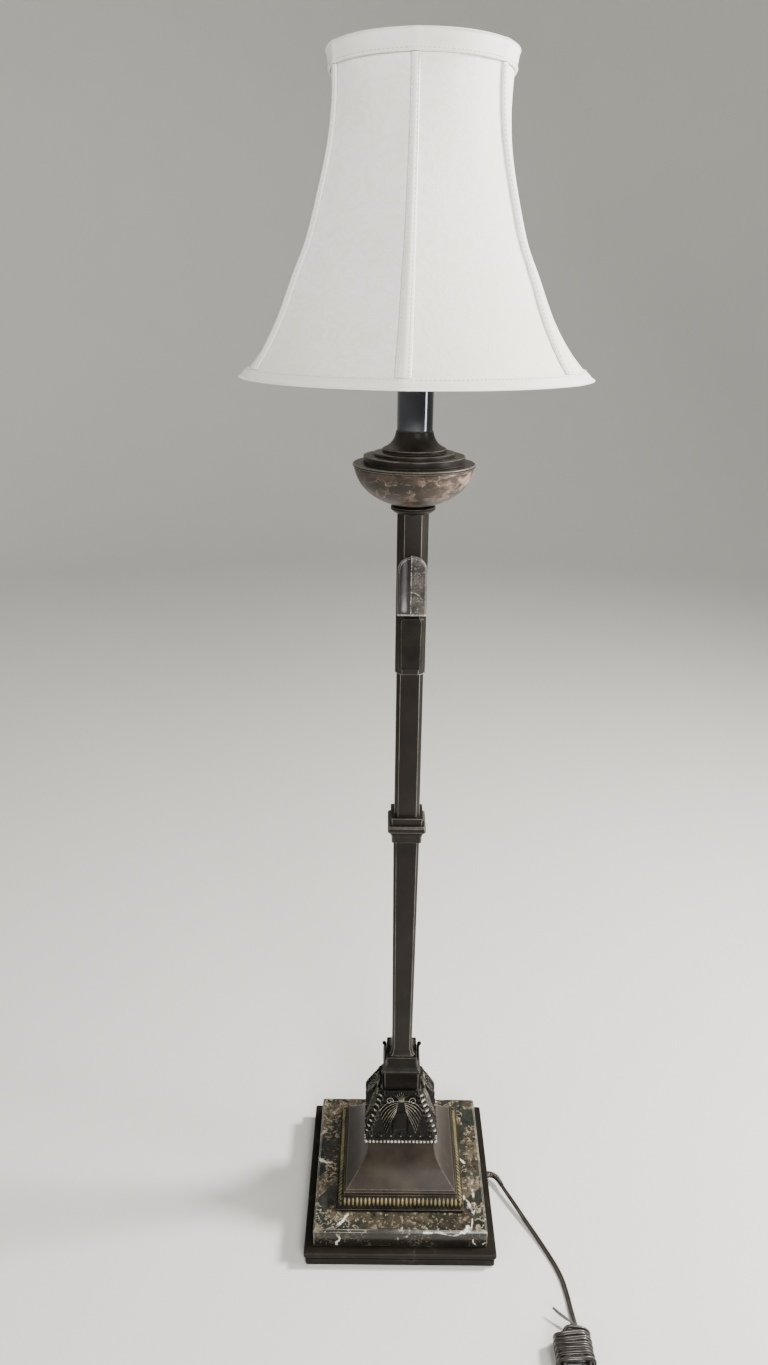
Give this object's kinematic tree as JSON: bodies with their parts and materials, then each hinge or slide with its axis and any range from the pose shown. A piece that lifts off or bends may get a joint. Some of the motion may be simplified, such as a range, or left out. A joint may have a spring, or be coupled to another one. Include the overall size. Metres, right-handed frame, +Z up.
{
  "type": "table lamp",
  "caption": "slim square-column buffet lamp with a stepped stone and cast foot, turned stone bowl and neck, panelled bell shade on a harp, and a plug-in lead",
  "frame": {"origin": "centre of the base on the floor", "axes": "+Z up along the rod, -Y the front with the arched plaque, +X the side where the lead leaves"},
  "size_m": [0.2899, 0.3766, 0.997],
  "materials": {
    "felt": "wool felt",
    "plinth": "honed near-black stone",
    "marble": "polished dark marble with pale veins",
    "bronze": "cast, antique bronze finish with rubbed high points",
    "dark_column": "satin brown-black with rubbed edges",
    "bowl_stone": "polished mottled marble",
    "gunmetal": "polished gunmetal",
    "steel": "plain",
    "brass": "satin",
    "liner": "insulating board",
    "phenolic": "satin black",
    "bulb_glass": "frosted",
    "lead_plastic": "dark brown, satin",
    "shade_cloth": "cream damask",
    "shade_trim": "cream bias trim"
  },
  "bodies": {
    "lamp": {"felt_pad": "felt", "plinth": "plinth", "marble_slab": "marble", "gadroon_border": "bronze", "pyramid_foot": "dark_column", "bead_frame": "bronze", "leaf_block": "bronze", "column_socket": "bronze", "lower_column": "dark_column", "collar_ridge": "bronze", "collar_band": "bronze", "upper_column": "dark_column", "capital_sleeve": "dark_column", "plaque_bracket": "bronze", "arched_plaque": "bowl_stone", "bowl_collar": "bronze", "stone_bowl": "bowl_stone", "rim_ring": "dark_column", "stepped_discs": "dark_column", "flare": "dark_column", "neck_tube": "gunmetal", "check_ring": "brass", "threaded_rod": "steel", "lock_nut": "steel", "socket_cap": "brass", "socket_shell": "brass", "socket_liner": "liner", "socket_interior": "phenolic", "screw_shell": "brass", "harp_saddle": "brass", "harp": "brass", "lead_bushing": "phenolic", "strain_relief": "lead_plastic", "lead": "lead_plastic", "lead_hank": "lead_plastic", "hank_tie": "lead_plastic", "lead_tail": "lead_plastic", "plug": "lead_plastic"},
    "shade": {"shade_panel_1": "shade_cloth", "seam_trim_1": "shade_trim", "shade_panel_2": "shade_cloth", "seam_trim_2": "shade_trim", "shade_panel_3": "shade_cloth", "seam_trim_3": "shade_trim", "shade_panel_4": "shade_cloth", "seam_trim_4": "shade_trim", "shade_panel_5": "shade_cloth", "seam_trim_5": "shade_trim", "shade_panel_6": "shade_cloth", "seam_trim_6": "shade_trim", "shade_cage": "steel", "hem_trim": "shade_trim", "top_band": "shade_trim", "spider": "steel"},
    "finial": {"finial": "bronze"},
    "bulb": {"bulb_base": "steel", "bulb_glass": "bulb_glass"},
    "switch": {"switch_knob": "phenolic"},
    "ferrule_left": {"ferrule_left": "brass"},
    "ferrule_right": {"ferrule_right": "brass"}
  },
  "joints": [
    {"name": "shade_swivel", "type": "hinge", "parent": "lamp", "child": "shade", "pos_m": [0, 0, 0.9686], "axis": [0, 0, 1], "continuous": true},
    {"name": "finial_turn", "type": "hinge", "parent": "lamp", "child": "finial", "pos_m": [0, 0, 0.971], "axis": [0, 0, 1], "continuous": true},
    {"name": "bulb_turn", "type": "hinge", "parent": "lamp", "child": "bulb", "pos_m": [0, 0, 0.836], "axis": [0, 0, 1], "continuous": true},
    {"name": "switch_turn", "type": "hinge", "parent": "lamp", "child": "switch", "pos_m": [0, -0.02, 0.818], "axis": [0, -1, 0], "continuous": true},
    {"name": "ferrule_left_lift", "type": "slide", "parent": "lamp", "child": "ferrule_left", "axis": [0, 0, 1], "range_m": [0, 0.015]},
    {"name": "ferrule_right_lift", "type": "slide", "parent": "lamp", "child": "ferrule_right", "axis": [0, 0, 1], "range_m": [0, 0.015]}
  ]
}
